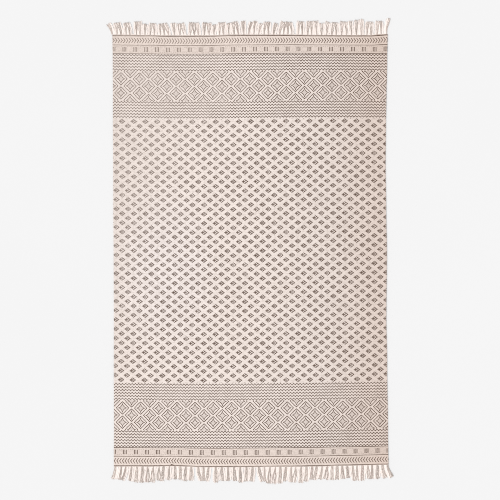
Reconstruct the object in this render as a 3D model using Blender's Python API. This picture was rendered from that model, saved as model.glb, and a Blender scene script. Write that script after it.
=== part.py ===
"""A flat cotton rug: one woven cloth with a loose fringe at each end.

Metres, +Z up. The rug lies on the plane z = 0 with its length along Y, its
head end at +Y, and the middle of its bounding box over the origin.
"""

import math
import random
from collections import namedtuple

import bpy

# The cloth
CLOTH_THICKNESS = 0.003
CLOTH_ROWS = 30

# The edge strip that holds the roots of a fringe, and its gap to the cloth
STRIP_WIDTH = 0.004
STRIP_GAP = 0.0003

# The locks of a fringe. STRAIGHT_LEAN is the share of a lock's lean that it
# takes straight from its root, and the rest bends it more towards its tip
ROOT_WIDTH = 0.0075
LOCK_TOP_SHARE = 0.62
ROOT_DRAW = 0.12
TIP_PITCH = 0.0125
SWAY = 0.0012
STRAIGHT_LEAN = 0.34
DIRECTION_STEP = 0.1
SPREAD_PASSES = 40
SEED = 11

MILLIMETRE = 0.001

# How far each side lies from the middle line, at places along the length
SideRow = namedtuple("SideRow", "along left right")
SIDES = (
    SideRow(-0.943, -0.5969, 0.6026),
    SideRow(-0.786, -0.5965, 0.6000),
    SideRow(-0.506, -0.5969, 0.5969),
    SideRow(-0.296, -0.5969, 0.5932),
    SideRow(-0.017, -0.5978, 0.5952),
    SideRow(0.193, -0.5991, 0.5926),
    SideRow(0.368, -0.5996, 0.5898),
    SideRow(0.543, -0.6009, 0.5913),
    SideRow(0.683, -0.6011, 0.5935),
    SideRow(0.822, -0.6018, 0.5965),
    SideRow(0.945, -0.6031, 0.5987),
)

# How far each end lies from the middle, at places across the width
EndRow = namedtuple("EndRow", "across head foot")
ENDS = (
    EndRow(-0.603, 0.9430, -0.9417),
    EndRow(-0.437, 0.9422, -0.9417),
    EndRow(-0.350, 0.9396, -0.9400),
    EndRow(-0.197, 0.9404, -0.9448),
    EndRow(-0.066, 0.9435, -0.9448),
    EndRow(0.175, 0.9435, -0.9430),
    EndRow(0.284, 0.9422, -0.9413),
    EndRow(0.415, 0.9418, -0.9382),
    EndRow(0.524, 0.9418, -0.9356),
    EndRow(0.599, 0.9466, -0.9339),
)

# A lock's width and height at shares of its length from the strip
ShapeRow = namedtuple("ShapeRow", "share width height")
LOCK_SHAPE = (
    ShapeRow(0.22, 0.0078, 0.0036),
    ShapeRow(0.50, 0.0092, 0.0042),
    ShapeRow(0.80, 0.0110, 0.0038),
    ShapeRow(1.00, 0.0084, 0.0026),
)

# Where the roots of some locks lie across an end, counted from the left; the
# others are spaced evenly between them
RootRow = namedtuple("RootRow", "lock across")
HEAD_ROOTS = (
    RootRow(1, -0.5985),
    RootRow(8, -0.460),
    RootRow(18, -0.242),
    RootRow(35, 0.126),
    RootRow(45, 0.333),
    RootRow(57, 0.594),
)
FOOT_ROOTS = (
    RootRow(1, -0.590),
    RootRow(15, -0.259),
    RootRow(27, 0.0625),
    RootRow(38, 0.3135),
    RootRow(51, 0.598),
)

# Each row is a tuft whose locks draw together: how many locks it has, and in
# millimetres how far it leans towards +X and how far it reaches past the hem
TuftRow = namedtuple("TuftRow", "locks lean reach")
HEAD_TUFTS = tuple(TuftRow(*row) for row in (
    (1, -19, 50), (2, -10, 54), (2, -8, 55), (2, -3, 60), (1, 2, 50), (2, 2, 53),
    (3, -13, 52), (1, -7, 57), (2, -7, 55), (3, -1, 57), (1, 3, 58), (1, -2, 56),
    (1, 1, 48), (2, 1, 56), (1, -4, 52), (2, -12, 57), (1, -5, 61), (1, 13, 56),
    (1, 8, 61), (1, 13, 50), (2, 5, 57), (1, 13, 52), (4, 4, 58), (2, 4, 60),
    (2, 2, 62), (1, -7, 63), (1, 0, 54), (1, 8, 59), (2, 5, 57), (1, 5, 62),
    (1, -3, 60), (1, -6, 63), (1, 0, 68), (1, -2, 71), (2, 3, 60), (2, 2, 60),
    (1, 11, 70),
))
FOOT_TUFTS = tuple(TuftRow(*row) for row in (
    (1, -11, 57), (2, -13, 60), (1, -9, 65), (1, -7, 72), (1, -3, 73), (1, -1, 72),
    (1, -7, 72), (2, -7, 66), (1, -8, 63), (1, 0, 60), (1, 0, 61), (1, -6, 67),
    (1, -2, 63), (3, 1, 62), (1, 2, 69), (1, 1, 62), (1, 1, 62), (1, 3, 62),
    (1, 0, 69), (1, -1, 65), (1, -6, 65), (2, 10, 65), (1, -7, 75), (1, -9, 77),
    (1, -3, 75), (1, -6, 66), (2, -6, 70), (1, -4, 73), (1, -6, 67), (2, -10, 60),
    (1, -12, 59), (1, -9, 60), (1, -3, 63), (1, -2, 63), (1, 5, 60), (1, 4, 56),
    (2, 5, 68), (1, 1, 70), (2, 4, 62), (1, 2, 63), (1, 14, 60), (1, 21, 56),
))

# Finishes
CLOTH_COLOUR = (0.55, 0.50, 0.45, 1.0)
FRINGE_COLOUR = (0.72, 0.68, 0.62, 1.0)
COTTON_ROUGHNESS = 0.95

Lock = namedtuple("Lock", "root tip reach sway")

# A fringe's locks, the places across of the strip's corners, the place along
# of the hem at any place across, and 1 for the head's fringe or -1 for the foot's
Fringe = namedtuple("Fringe", "locks stations hem way")


def mix(start, end, share):
    """Return the value a share of the way from start to end."""
    return start + (end - start) * share


def ease(share):
    """Return a share from 0 to 1 with a soft start and a soft end."""
    return share * share * (3.0 - 2.0 * share)


def even(share):
    """Return a share from 0 to 1 as it is."""
    return share


def read_table(rows, place, column, pace=ease):
    """Return a table's column at a place, worked out from the rows around it."""
    if place <= rows[0][0]:
        return getattr(rows[0], column)
    for low, high in zip(rows, rows[1:]):
        if place <= high[0]:
            share = pace((place - low[0]) / (high[0] - low[0]))
            return mix(getattr(low, column), getattr(high, column), share)
    return getattr(rows[-1], column)


def cotton(name, colour):
    """Return a matt cotton material of one colour."""
    material = bpy.data.materials.new(name)
    material.use_nodes = True
    shader = material.node_tree.nodes["Principled BSDF"]
    shader.inputs["Base Color"].default_value = colour
    shader.inputs["Roughness"].default_value = COTTON_ROUGHNESS
    shader.inputs["Metallic"].default_value = 0.0
    return material


def cloth_outline(head, foot):
    """Return the cloth's outline in plan, anticlockwise from its lower left corner."""
    outline = [(x, foot.hem(x)) for x in foot.stations]
    rows = [row / CLOTH_ROWS for row in range(1, CLOTH_ROWS)]
    for share in rows:
        along = mix(foot.hem(foot.stations[-1]), head.hem(head.stations[-1]), share)
        outline.append((read_table(SIDES, along, "right"), along))
    outline += [(x, head.hem(x)) for x in reversed(head.stations)]
    for share in rows:
        along = mix(head.hem(head.stations[0]), foot.hem(foot.stations[0]), share)
        outline.append((read_table(SIDES, along, "left"), along))
    return outline


def cloth_mesh(head, foot):
    """Return the cloth's vertices and faces: its outline as a flat slab."""
    outline = cloth_outline(head, foot)
    count = len(outline)
    vertices = [(x, y, 0.0) for x, y in outline]
    vertices += [(x, y, CLOTH_THICKNESS) for x, y in outline]
    faces = [list(range(count))[::-1], list(range(count, 2 * count))]
    for here in range(count):
        there = (here + 1) % count
        faces.append([here, there, count + there, count + here])
    return vertices, faces


def spread_tips(tips):
    """Return the tips' places pushed apart until no two neighbours touch."""
    tips = list(tips)
    for _ in range(SPREAD_PASSES):
        for number in range(1, len(tips)):
            short = TIP_PITCH - (tips[number] - tips[number - 1])
            if short > 0.0:
                tips[number - 1] -= short / 2.0
                tips[number] += short / 2.0
    return tips


def plan_locks(tufts, root_rows, chance):
    """Return a fringe's locks from left to right, drawn into their tufts."""
    roots = []
    tips = []
    reaches = []
    for tuft in tufts:
        middle_lock = len(roots) + (tuft.locks + 1) / 2.0
        middle = read_table(root_rows, middle_lock, "across", even)
        for number in range(tuft.locks):
            from_middle = number - (tuft.locks - 1) / 2.0
            own = read_table(root_rows, len(roots) + 1, "across", even)
            roots.append(mix(own, middle, ROOT_DRAW))
            tips.append(middle + from_middle * TIP_PITCH + tuft.lean * MILLIMETRE)
            reaches.append(tuft.reach * MILLIMETRE)
    tips = spread_tips(tips)
    return [
        Lock(root, tip, reach, chance.uniform(-SWAY, SWAY))
        for root, tip, reach in zip(roots, tips, reaches)
    ]


def lock_rings(lock, hem, way):
    """Return the rings of four points that a lock is drawn through.

    hem gives the end's place at a place across, and way is 1 at the head and
    -1 at the foot. The first ring is left out, because the strip holds it.
    """
    start = hem(lock.root) + way * (STRIP_GAP + STRIP_WIDTH)
    length = lock.reach - STRIP_GAP - STRIP_WIDTH

    def middle(share):
        bend = mix(share * share, share, STRAIGHT_LEAN)
        x = mix(lock.root, lock.tip, bend) + lock.sway * math.sin(2.0 * math.pi * share)
        return x, start + way * length * share

    rings = []
    for row in LOCK_SHAPE:
        x, y = middle(row.share)
        before_x, before_y = middle(row.share - DIRECTION_STEP)
        span = math.hypot(x - before_x, y - before_y)
        side_x = way * (y - before_y) / span
        side_y = -way * (x - before_x) / span
        low = row.width / 2.0
        high = low * LOCK_TOP_SHARE
        rings.append((
            (x - side_x * low, y - side_y * low, 0.0),
            (x + side_x * low, y + side_y * low, 0.0),
            (x + side_x * high, y + side_y * high, row.height),
            (x - side_x * high, y - side_y * high, row.height),
        ))
    return rings


def plan_fringe(tufts, root_rows, column, way, chance):
    """Return the plan of the fringe at one end of the cloth."""
    end = SIDES[-1] if way > 0 else SIDES[0]
    locks = plan_locks(tufts, root_rows, chance)
    stations = [end.left]
    for lock in locks:
        stations += [lock.root - ROOT_WIDTH / 2.0, lock.root + ROOT_WIDTH / 2.0]
    stations.append(end.right)
    return Fringe(locks, stations, lambda x: read_table(ENDS, x, column), way)


def fringe_mesh(fringe):
    """Return a fringe's vertices and faces: a strip whose front grows into locks."""
    locks, stations, hem, way = fringe
    vertices = []
    faces = []
    for x in stations:
        back = hem(x) + way * STRIP_GAP
        front = back + way * STRIP_WIDTH
        for y, z in ((back, 0.0), (front, 0.0), (front, CLOTH_THICKNESS), (back, CLOTH_THICKNESS)):
            vertices.append((x, y, z))

    last = len(stations) - 1
    for station in range(last):
        here = 4 * station
        there = here + 4
        faces.append([here, here + 1, there + 1, there])
        faces.append([here + 3, there + 3, there + 2, here + 2])
        faces.append([here, there, there + 3, here + 3])
        is_root = station % 2 == 1
        if not is_root:
            faces.append([here + 1, here + 2, there + 2, there + 1])
    faces.append([0, 3, 2, 1])
    faces.append([4 * last, 4 * last + 1, 4 * last + 2, 4 * last + 3])

    for number, lock in enumerate(locks):
        left = 4 * (2 * number + 1)
        right = left + 4
        ring = [left + 1, right + 1, right + 2, left + 2]
        for points in lock_rings(lock, hem, way):
            first = len(vertices)
            vertices.extend(points)
            outer = [first, first + 1, first + 2, first + 3]
            for corner in range(4):
                after = (corner + 1) % 4
                faces.append([ring[corner], outer[corner], outer[after], ring[after]])
            ring = outer
        faces.append(ring[::-1])
    return vertices, faces


def faces_outward(vertices, faces):
    """Return the faces, turned round if the closed mesh has a negative volume."""
    volume = 0.0
    for face in faces:
        ax, ay, az = vertices[face[0]]
        for second, third in zip(face[1:], face[2:]):
            bx, by, bz = vertices[second]
            cx, cy, cz = vertices[third]
            volume += ax * (by * cz - bz * cy) + ay * (bz * cx - bx * cz) + az * (bx * cy - by * cx)
    if volume > 0.0:
        return faces
    return [face[::-1] for face in faces]


def add_piece(name, shape, material, place):
    """Add one closed solid to the scene, with its material, at its place."""
    vertices, faces = shape
    mesh = bpy.data.meshes.new(name)
    mesh.from_pydata(vertices, [], faces_outward(vertices, faces))
    mesh.materials.append(material)
    piece = bpy.data.objects.new(name, mesh)
    piece.location = place
    bpy.context.collection.objects.link(piece)
    return piece


def box_middle(shapes):
    """Return the middle, in plan, of the box around all the shapes."""
    points = [point for vertices, _ in shapes for point in vertices]
    lows = [min(point[axis] for point in points) for axis in (0, 1)]
    highs = [max(point[axis] for point in points) for axis in (0, 1)]
    return [(low + high) / 2.0 for low, high in zip(lows, highs)]


def main():
    """Build the rug in an empty scene."""
    for item in list(bpy.data.objects):
        bpy.data.objects.remove(item)
    chance = random.Random(SEED)
    head = plan_fringe(HEAD_TUFTS, HEAD_ROOTS, "head", 1, chance)
    foot = plan_fringe(FOOT_TUFTS, FOOT_ROOTS, "foot", -1, chance)
    cloth = cloth_mesh(head, foot)
    fringe_head = fringe_mesh(head)
    fringe_foot = fringe_mesh(foot)
    middle_x, middle_y = box_middle((cloth, fringe_head, fringe_foot))
    place = (-middle_x, -middle_y, 0.0)
    yarn = cotton("fringe_yarn", FRINGE_COLOUR)
    add_piece("rug_cloth", cloth, cotton("printed_cloth", CLOTH_COLOUR), place)
    add_piece("fringe_head", fringe_head, yarn, place)
    add_piece("fringe_foot", fringe_foot, yarn.copy(), place)


main()
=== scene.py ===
"""The looks of a printed cotton rug: its flat-woven cloth and its two yarn fringes.

Metres, +Z up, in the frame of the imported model. The rug lies on z = 0 with its
head end at +Y. The cloth has its solid's outline, and each lock of yarn lies
within a few millimetres of its solid.
"""

import logging
import math
import random
from dataclasses import dataclass, field
from enum import Enum
from typing import Callable, NamedTuple, Sequence, Union

import bpy
import numpy as np
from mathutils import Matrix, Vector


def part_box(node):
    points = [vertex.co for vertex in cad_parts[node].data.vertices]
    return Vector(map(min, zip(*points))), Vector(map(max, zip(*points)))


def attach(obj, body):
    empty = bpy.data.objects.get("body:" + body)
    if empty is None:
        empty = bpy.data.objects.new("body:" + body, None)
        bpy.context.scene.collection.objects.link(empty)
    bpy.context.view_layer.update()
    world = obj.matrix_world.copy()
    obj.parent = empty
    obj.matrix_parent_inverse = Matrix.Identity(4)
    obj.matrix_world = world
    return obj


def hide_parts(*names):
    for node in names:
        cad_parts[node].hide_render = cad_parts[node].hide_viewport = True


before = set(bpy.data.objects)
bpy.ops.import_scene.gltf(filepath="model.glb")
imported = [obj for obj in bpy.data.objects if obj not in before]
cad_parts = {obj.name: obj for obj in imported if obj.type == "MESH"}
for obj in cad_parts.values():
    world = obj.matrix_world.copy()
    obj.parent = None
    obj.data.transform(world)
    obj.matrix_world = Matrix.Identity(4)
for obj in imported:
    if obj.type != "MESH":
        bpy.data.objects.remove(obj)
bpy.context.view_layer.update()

LOG = logging.getLogger("rug")

MM = 0.001
BODY = "root"

CLOTH_NODE = "rug_cloth"
HEAD_NODE = "fringe_head"
FOOT_NODE = "fringe_foot"

# Names of what the meshes carry for their materials
PRINT_MAP = "print_map"
FACE_UP = "face_up"
YARN_MAP = "yarn_map"
YARN_TONE = "yarn_tone"

# The tones of the yarns: taupe from 0 to DARK_TONE, its palest, and cream at PALE_TONE. The taupe is partly
# the yarns' own tone and partly painted shade, for the shadow between cream yarns
DARK_TONE = 0.85
PALE_TONE = 1.0

# The share of its length over which a yarn thins at its tip, and how thin it gets
TAPER = 0.12
TIP_THINNESS = 0.65


class End(Enum):
    """The two ends of the rug."""

    HEAD = "head"
    FOOT = "foot"

    @property
    def way(self) -> int:
        """Return 1 where the fringe runs towards +Y and -1 where it runs to -Y."""
        return 1 if self is End.HEAD else -1


class SideRow(NamedTuple):
    """The left and right selvedges at one place along, in metres."""

    along: float
    left: float
    right: float


SIDES = (
    SideRow(-0.943, -0.5969, 0.6026),
    SideRow(-0.786, -0.5965, 0.6000),
    SideRow(-0.506, -0.5969, 0.5969),
    SideRow(-0.296, -0.5969, 0.5932),
    SideRow(-0.017, -0.5978, 0.5952),
    SideRow(0.193, -0.5991, 0.5926),
    SideRow(0.368, -0.5996, 0.5898),
    SideRow(0.543, -0.6009, 0.5913),
    SideRow(0.683, -0.6011, 0.5935),
    SideRow(0.822, -0.6018, 0.5965),
    SideRow(0.945, -0.6031, 0.5987),
)


class EndRow(NamedTuple):
    """The head and foot hems at one place across, in metres."""

    across: float
    head: float
    foot: float


ENDS = (
    EndRow(-0.603, 0.9430, -0.9417),
    EndRow(-0.437, 0.9422, -0.9417),
    EndRow(-0.350, 0.9396, -0.9400),
    EndRow(-0.197, 0.9404, -0.9448),
    EndRow(-0.066, 0.9435, -0.9448),
    EndRow(0.175, 0.9435, -0.9430),
    EndRow(0.284, 0.9422, -0.9413),
    EndRow(0.415, 0.9418, -0.9382),
    EndRow(0.524, 0.9418, -0.9356),
    EndRow(0.599, 0.9466, -0.9339),
)


class RootRow(NamedTuple):
    """Where one lock's root lies across its end, counted from the left."""

    lock: int
    across: float


HEAD_ROOTS = (
    RootRow(1, -0.604),
    RootRow(5, -0.525),
    RootRow(6, -0.500),
    RootRow(8, -0.461),
    RootRow(18, -0.2455),
    RootRow(35, 0.1225),
    RootRow(45, 0.332),
    RootRow(57, 0.594),
)
FOOT_ROOTS = (
    RootRow(1, -0.590),
    RootRow(15, -0.259),
    RootRow(27, 0.0625),
    RootRow(38, 0.3135),
    RootRow(51, 0.598),
)


class TuftRow(NamedTuple):
    """Locks that draw together: their number, lean towards +X and reach past the hem."""

    locks: int
    lean: float
    reach: float


HEAD_TUFTS = tuple(TuftRow(*row) for row in (
    (1, -19, 50), (2, -10, 54), (2, -8, 55), (2, -3, 60), (1, 2, 50), (2, 2, 53),
    (3, -13, 52), (1, -7, 57), (2, -7, 55), (3, -1, 57), (1, 3, 58), (1, -2, 56),
    (1, 1, 48), (2, 1, 56), (1, -4, 52), (2, -12, 57), (1, -5, 61), (1, 13, 56),
    (1, 8, 61), (1, 13, 50), (2, 5, 57), (1, 13, 52), (4, 4, 58), (2, 4, 60),
    (2, 2, 62), (1, -7, 63), (1, 0, 54), (1, 8, 59), (2, 5, 57), (1, 5, 62),
    (1, -3, 60), (1, -6, 63), (1, 0, 68), (1, -2, 71), (2, 3, 60), (2, 2, 60),
    (1, 11, 70),
))
FOOT_TUFTS = tuple(TuftRow(*row) for row in (
    (1, -11, 57), (2, -13, 60), (1, -9, 65), (1, -7, 72), (1, -3, 73), (1, -1, 72),
    (1, -7, 72), (2, -7, 66), (1, -8, 63), (1, 0, 60), (1, 0, 61), (1, -6, 67),
    (1, -2, 63), (3, 1, 62), (1, 2, 69), (1, 1, 62), (1, 1, 62), (1, 3, 62),
    (1, 0, 69), (1, -1, 65), (1, -6, 65), (2, 10, 65), (1, -7, 75), (1, -9, 77),
    (1, -3, 75), (1, -6, 66), (2, -6, 70), (1, -4, 73), (1, -6, 67), (2, -10, 60),
    (1, -12, 59), (1, -9, 60), (1, -3, 63), (1, -2, 63), (1, 5, 60), (1, 4, 56),
    (2, 5, 68), (1, 1, 70), (2, 4, 62), (1, 2, 63), (1, 14, 60), (1, 21, 56),
))


def mix(start: float, end: float, share: float) -> float:
    """Return the value a share of the way from start to end."""
    return start + (end - start) * share


def ease(share: float) -> float:
    """Return a share from 0 to 1 with a soft start and a soft end."""
    return share * share * (3.0 - 2.0 * share)


def even(share: float) -> float:
    """Return a share from 0 to 1 as it is."""
    return share


def read_table(
    rows: Sequence[NamedTuple],
    place: float,
    column: str,
    pace: Callable[[float], float] = ease,
) -> float:
    """Read a table's column at a place, from the rows on either side of it.

    Args:
        rows: The table, its first column rising.
        place: Where to read, in the first column's units.
        column: The name of the column to read.
        pace: How the share between two rows runs.

    Returns:
        The column's value there, held past the table's ends.
    """
    if place <= rows[0][0]:
        return getattr(rows[0], column)
    for low, high in zip(rows, rows[1:]):
        if place <= high[0]:
            share = pace((place - low[0]) / (high[0] - low[0]))
            return mix(getattr(low, column), getattr(high, column), share)
    return getattr(rows[-1], column)


def hem_at(end: End, across: float) -> float:
    """Return how far along an end's hem lies at a place across."""
    return read_table(ENDS, across, end.value)


def frame_shift() -> tuple[float, float]:
    """Return what the plan's places across and along gain in the model's frame."""
    low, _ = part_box(CLOTH_NODE)
    left = min(row.left for row in SIDES)
    foot = min(row.foot for row in ENDS)
    return low.x - left, low.y - foot


SHIFT_X, SHIFT_Y = frame_shift()


def deselect_all() -> None:
    """Leave nothing selected, so that an operator acts on its own piece alone."""
    if bpy.context.object and bpy.context.object.mode != "OBJECT":
        bpy.ops.object.mode_set(mode="OBJECT")
    bpy.ops.object.select_all(action="DESELECT")


def pick(piece: bpy.types.Object) -> None:
    """Select one piece alone and make it the active one.

    Args:
        piece: The piece.
    """
    deselect_all()
    piece.select_set(True)
    bpy.context.view_layer.objects.active = piece


def apply_modifiers(piece: bpy.types.Object) -> None:
    """Apply a piece's modifiers to its mesh, first to last."""
    pick(piece)
    for name in [modifier.name for modifier in piece.modifiers]:
        bpy.ops.object.modifier_apply(modifier=name)


def dress(piece: bpy.types.Object, material: bpy.types.Material) -> None:
    """Give a piece one material all over."""
    piece.data.materials.clear()
    piece.data.materials.append(material)


class Number:
    """A value that nodes work out at each point of a surface.

    Python's own signs for sums add the nodes, so that a chart reads as sums do.
    """

    def __init__(self, bench: "Bench", socket: bpy.types.NodeSocket) -> None:
        """Keep the bench that adds nodes and the socket that gives the value."""
        self.bench = bench
        self.socket = socket

    def __add__(self, other: "Value") -> "Number":
        """Return this value plus another."""
        return self.bench.math("ADD", self, other)

    def __sub__(self, other: "Value") -> "Number":
        """Return this value less another."""
        return self.bench.math("SUBTRACT", self, other)

    def __rsub__(self, other: float) -> "Number":
        """Return a plain number less this value."""
        return self.bench.math("SUBTRACT", other, self)

    def __mul__(self, other: "Value") -> "Number":
        """Return this value times another."""
        return self.bench.math("MULTIPLY", self, other)

    def __truediv__(self, other: "Value") -> "Number":
        """Return this value divided by another."""
        return self.bench.math("DIVIDE", self, other)

    def __pow__(self, other: "Value") -> "Number":
        """Return this value raised to a power."""
        return self.bench.math("POWER", self, other)

    def __abs__(self) -> "Number":
        """Return this value without its sign."""
        return self.bench.math("ABSOLUTE", self)


Value = Union[Number, float]
Colour = tuple[float, float, float, float]


@dataclass
class Bench:
    """One material's node tree, and short ways of adding nodes to it."""

    tree: bpy.types.NodeTree
    columns: int = 14
    step_x: float = 190.0
    step_y: float = 210.0

    def add(self, kind: str) -> bpy.types.Node:
        """Add a node of a kind, the next in rows from the upper left.

        Args:
            kind: The type name of the node.

        Returns:
            The node.
        """
        count = len(self.tree.nodes)
        node = self.tree.nodes.new(kind)
        node.location = (count % self.columns * self.step_x, -(count // self.columns) * self.step_y)
        return node

    def feed(self, socket: bpy.types.NodeSocket, value: Value) -> None:
        """Link a value to an input, or set it there where it is a plain number."""
        if isinstance(value, Number):
            self.tree.links.new(value.socket, socket)
        else:
            socket.default_value = value

    def math(self, operation: str, *values: Value) -> Number:
        """Return what a Math node makes of its values.

        Args:
            operation: The name of the operation.
            values: The values that go in.

        Returns:
            The result.
        """
        node = self.add("ShaderNodeMath")
        node.operation = operation
        for socket, value in zip(node.inputs, values):
            self.feed(socket, value)
        return Number(self, node.outputs[0])

    def least(self, *values: Number) -> Number:
        """Return the least of some values.

        Args:
            values: The values that go in.

        Returns:
            The ink, from 0 to 1.
        """
        result = values[0]
        for value in values[1:]:
            result = self.math("MINIMUM", result, value)
        return result

    def most(self, *values: Number) -> Number:
        """Return the greatest of some values.

        Args:
            values: The values that go in.

        Returns:
            The ink, from 0 to 1.
        """
        result = values[0]
        for value in values[1:]:
            result = self.math("MAXIMUM", result, value)
        return result

    def centred(self, value: Value, pitch: float) -> Number:
        """Return how far a value lies from the nearest multiple of a pitch."""
        return self.math("WRAP", value, pitch / 2.0, -pitch / 2.0)

    def ramp(self, value: Number, start: float, stop: float, low: float, high: float) -> Number:
        """Return a soft step from low at start to high at stop.

        Args:
            value: What the step depends on.
            start: The value where the step starts.
            stop: The value where it ends, above start.
            low: What it gives up to the start.
            high: What it gives from the stop on.

        Returns:
            The stepped value.
        """
        node = self.add("ShaderNodeMapRange")
        node.interpolation_type = "SMOOTHSTEP"
        for name, setting in (
            ("Value", value), ("From Min", start), ("From Max", stop), ("To Min", low), ("To Max", high),
        ):
            self.feed(node.inputs[name], setting)
        return Number(self, node.outputs["Result"])

    def within(self, distance: Number, reach: float, soft: float) -> Number:
        """Return 1 where a distance is under its reach, falling softly to 0 past it."""
        return self.ramp(distance, reach - soft, reach + soft, 1.0, 0.0)

    def choose(self, switch: Number, one: Value, zero: Value) -> Number:
        """Return one value where a switch is 1, and the other where it is 0.

        Args:
            switch: The number that chooses, 0 or 1.
            one: The value for 1.
            zero: The value for 0.

        Returns:
            The value chosen.
        """
        node = self.add("ShaderNodeMix")
        node.data_type = "FLOAT"
        for place, value in zip((0, 2, 3), (switch, zero, one)):
            self.feed(node.inputs[place], value)
        return Number(self, node.outputs[0])

    def blend(self, share: Value, start: "Paint", stop: "Paint") -> bpy.types.NodeSocket:
        """Return the colour a share of the way from one colour to another.

        Args:
            share: How far along, from 0 to 1.
            start: The colour at 0.
            stop: The colour at 1.

        Returns:
            The colour.
        """
        node = self.add("ShaderNodeMix")
        node.data_type = "RGBA"
        self.feed(node.inputs[0], share)
        for place, paint in ((6, start), (7, stop)):
            if isinstance(paint, bpy.types.NodeSocket):
                self.tree.links.new(paint, node.inputs[place])
            else:
                node.inputs[place].default_value = paint
        return node.outputs[2]

    def point(self, x: Value, y: Value, z: Value = 0.0) -> bpy.types.NodeSocket:
        """Return a vector of three values.

        Args:
            x: The first value.
            y: The second value.
            z: The third value.

        Returns:
            The vector.
        """
        node = self.add("ShaderNodeCombineXYZ")
        for socket, value in zip(node.inputs, (x, y, z)):
            self.feed(socket, value)
        return node.outputs[0]

    def noise(self, place: bpy.types.NodeSocket, scale: float, detail: float = 2.0) -> Number:
        """Return a soft random value from 0 to 1 that changes with place.

        Args:
            place: The vector that the value changes with.
            scale: How fast it changes with place.
            detail: How many finer steps are added.

        Returns:
            The value, from 0 to 1.
        """
        node = self.add("ShaderNodeTexNoise")
        node.inputs["Scale"].default_value = scale
        node.inputs["Detail"].default_value = detail
        self.tree.links.new(place, node.inputs["Vector"])
        return Number(self, node.outputs[0])

    def chance(self, place: bpy.types.NodeSocket) -> Number:
        """Return a random value from 0 to 1 that differs at every place.

        Args:
            place: The vector that the value changes with.

        Returns:
            The value, from 0 to 1.
        """
        node = self.add("ShaderNodeTexWhiteNoise")
        node.noise_dimensions = "3D"
        self.tree.links.new(place, node.inputs["Vector"])
        return Number(self, node.outputs["Value"])

    def map_place(self, name: str) -> tuple[Number, Number]:
        """Return the two numbers of the piece's own map.

        Args:
            name: The name of the map.

        Returns:
            The two numbers.
        """
        node = self.add("ShaderNodeUVMap")
        node.uv_map = name
        split = self.add("ShaderNodeSeparateXYZ")
        self.tree.links.new(node.outputs[0], split.inputs[0])
        return Number(self, split.outputs[0]), Number(self, split.outputs[1])

    def attribute(self, name: str) -> Number:
        """Return a number that the mesh carries at its points.

        Args:
            name: The name of the attribute.

        Returns:
            The number.
        """
        node = self.add("ShaderNodeAttribute")
        node.attribute_name = name
        return Number(self, node.outputs["Fac"])

    def bump(self, height: Number, depth: float, strength: float) -> bpy.types.NodeSocket:
        """Return the normal of a surface that a height from 0 to 1 makes uneven.

        Args:
            height: The height, from 0 to 1.
            depth: The full height, in metres.
            strength: How strongly it shows.

        Returns:
            The normal.
        """
        node = self.add("ShaderNodeBump")
        node.inputs["Strength"].default_value = strength
        node.inputs["Distance"].default_value = depth
        self.tree.links.new(height.socket, node.inputs["Height"])
        return node.outputs[0]


Paint = Union[bpy.types.NodeSocket, Colour]


def start_material(name: str) -> tuple[bpy.types.Material, Bench, bpy.types.Node]:
    """Return a new material, its bench and its one shader.

    Args:
        name: The name of the material.

    Returns:
        The material, its bench and its shader.
    """
    material = bpy.data.materials.new(name)
    material.use_nodes = True
    shader = material.node_tree.nodes["Principled BSDF"]
    return material, Bench(material.node_tree), shader


class Ramp(NamedTuple):
    """A soft step: where it starts and stops, and what it gives before and after."""

    start: float
    stop: float
    low: float
    high: float


class Spot(NamedTuple):
    """A point of the flat cloth, in millimetres, as nodes work it out."""

    across: Number
    along: Number
    out: Number
    turned: Number
    is_foot: Number


@dataclass(frozen=True)
class PerEnd:
    """A measure that differs between the two ends, such as a place across.

    The foot's chart is the head's turned half round, so its places are measured
    from the middle towards -X.
    """

    head: float
    foot: float

    def chosen(self, spot: Spot) -> Number:
        """Return the measure of the end in which a point lies."""
        return spot.is_foot * (self.foot - self.head) + self.head

    def at(self, spot: Spot) -> Number:
        """Return the distance across from this place, in the end's own turn."""
        return spot.turned - self.chosen(spot)


@dataclass(frozen=True)
class Stagger:
    """Places in rows, each row half a pitch across from the next.

    half_width and half_height give the diamond in which a place's own motif
    lies. Sizes are in millimetres.
    """

    pitch: float
    row_gap: float
    half_width: float
    half_height: float

    def nearest(self, bench: Bench, across: Number, along: Number) -> tuple[Number, Number]:
        """Measure from the nearest place of the lattice.

        Args:
            bench: The material's bench.
            across: The distance across from one of the places.
            along: The distance along from the same place.

        Returns:
            How far the point lies across and along from its own place.
        """
        even_x = bench.centred(across, self.pitch)
        even_y = bench.centred(along, 2.0 * self.row_gap)
        odd_x = bench.centred(across - self.pitch / 2.0, self.pitch)
        odd_y = bench.centred(along - self.row_gap, 2.0 * self.row_gap)
        is_odd = bench.math("LESS_THAN", self.reach(odd_x, odd_y), self.reach(even_x, even_y))
        return bench.choose(is_odd, odd_x, even_x), bench.choose(is_odd, odd_y, even_y)

    def reach(self, x: Number, y: Number) -> Number:
        """Return 0 at a place's middle and 1 on its diamond."""
        return abs(x) / self.half_width + abs(y) / self.half_height


@dataclass(frozen=True)
class PlainLines:
    """The plain printed lines that run from selvedge to selvedge at each end."""

    hem: PerEnd = PerEnd(940.2, 940.4)
    hem_half: PerEnd = PerEnd(2.1, 1.5)
    second: float = 899.3
    second_half: float = 1.6
    second_ink: float = 0.92
    third: float = 861.6
    third_half: float = 1.5
    soft: float = 0.7

    def ink(self, bench: Bench, spot: Spot) -> Number:
        """Return the lines' ink, from 0 for bare cloth to 1.

        Args:
            bench: The bench of the material.
            spot: The point in the terms of the print.

        Returns:
            The ink, from 0 to 1.
        """
        from_hem = abs(spot.out - self.hem.chosen(spot))
        hem = bench.within(from_hem - self.hem_half.chosen(spot), 0.0, self.soft)
        second = bench.within(abs(spot.out - self.second), self.second_half, self.soft) * self.second_ink
        third = bench.within(abs(spot.out - self.third), self.third_half, self.soft)
        return bench.most(hem, second, third)


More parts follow.
